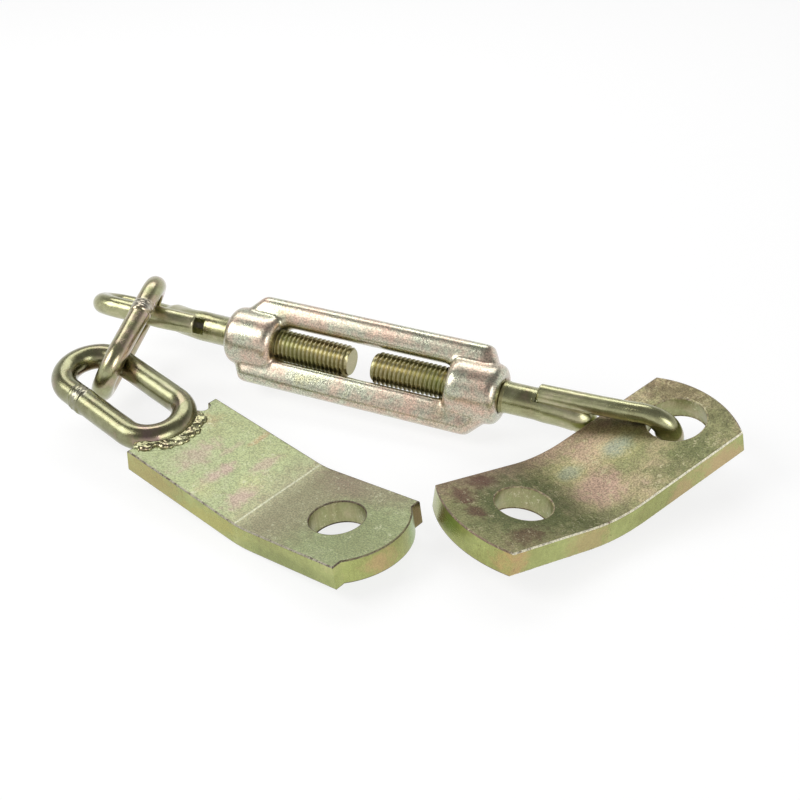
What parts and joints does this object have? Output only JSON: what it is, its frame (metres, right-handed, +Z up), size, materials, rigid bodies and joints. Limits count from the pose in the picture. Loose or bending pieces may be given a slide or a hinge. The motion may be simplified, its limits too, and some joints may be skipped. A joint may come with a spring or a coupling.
{
  "type": "turnbuckle check chain",
  "caption": "Slack tractor check chain: open turnbuckle with two eye bolts, a welded link and ring, and bent plates with pin holes.",
  "frame": {"origin": "centre of the bounding box's bottom, on the ground the chain lies on", "axes": "+X along the turnbuckle towards the eye that carries the plate with two holes, +Z up"},
  "size_m": [0.3408, 0.1672, 0.054],
  "materials": {
    "forged_body": "forged steel under yellow zinc plating, pinkish beige, satin",
    "bolts": "yellow zinc plated steel, glossy olive",
    "chain": "yellow zinc plated round bar, glossy",
    "weld": "plated weld bead, rough",
    "plates": "yellow zinc plated flat bar, mottled green, pink and brown"
  },
  "bodies": {
    "turnbuckle": {"turnbuckle_body": "forged_body"},
    "left_bolt": {"left_eye_bolt": "bolts"},
    "right_bolt": {"right_eye_bolt": "bolts"},
    "short_link": {"middle_link": "chain"},
    "left_end": {"left_plate": "plates", "welded_link": "chain", "link_plate_weld": "weld"},
    "right_end": {"right_plate": "plates"}
  },
  "joints": [
    {"name": "left_thread", "type": "slide", "parent": "turnbuckle", "child": "left_bolt", "axis": [-0.999, 0, 0.0454], "range_m": [-0.002, 0.036]},
    {"name": "right_thread", "type": "slide", "parent": "turnbuckle", "child": "right_bolt", "axis": [0.9996, 0, -0.0288], "range_m": [-0.002, 0.036]},
    {"name": "link_on_eye", "type": "hinge", "parent": "left_bolt", "child": "short_link", "pos_m": [-0.13972, 0.04332, 0.03456], "axis": [0.999, 0, -0.0454], "range_deg": [0, 60]},
    {"name": "ring_on_link", "type": "hinge", "parent": "short_link", "child": "left_end", "pos_m": [-0.13342, 0.00943, 0.02823], "axis": [-0.9933, -0.0792, 0.0845], "range_deg": [-30, 10]},
    {"name": "plate_on_eye", "type": "hinge", "parent": "right_bolt", "child": "right_end", "pos_m": [0.13902, 0.0531, 0.01773], "axis": [-0.1155, -0.1935, 0.9743], "range_deg": [0, 60]}
  ],
  "couplings": [
    {"joint": "right_thread", "follows": "left_thread", "ratio": 1}
  ]
}
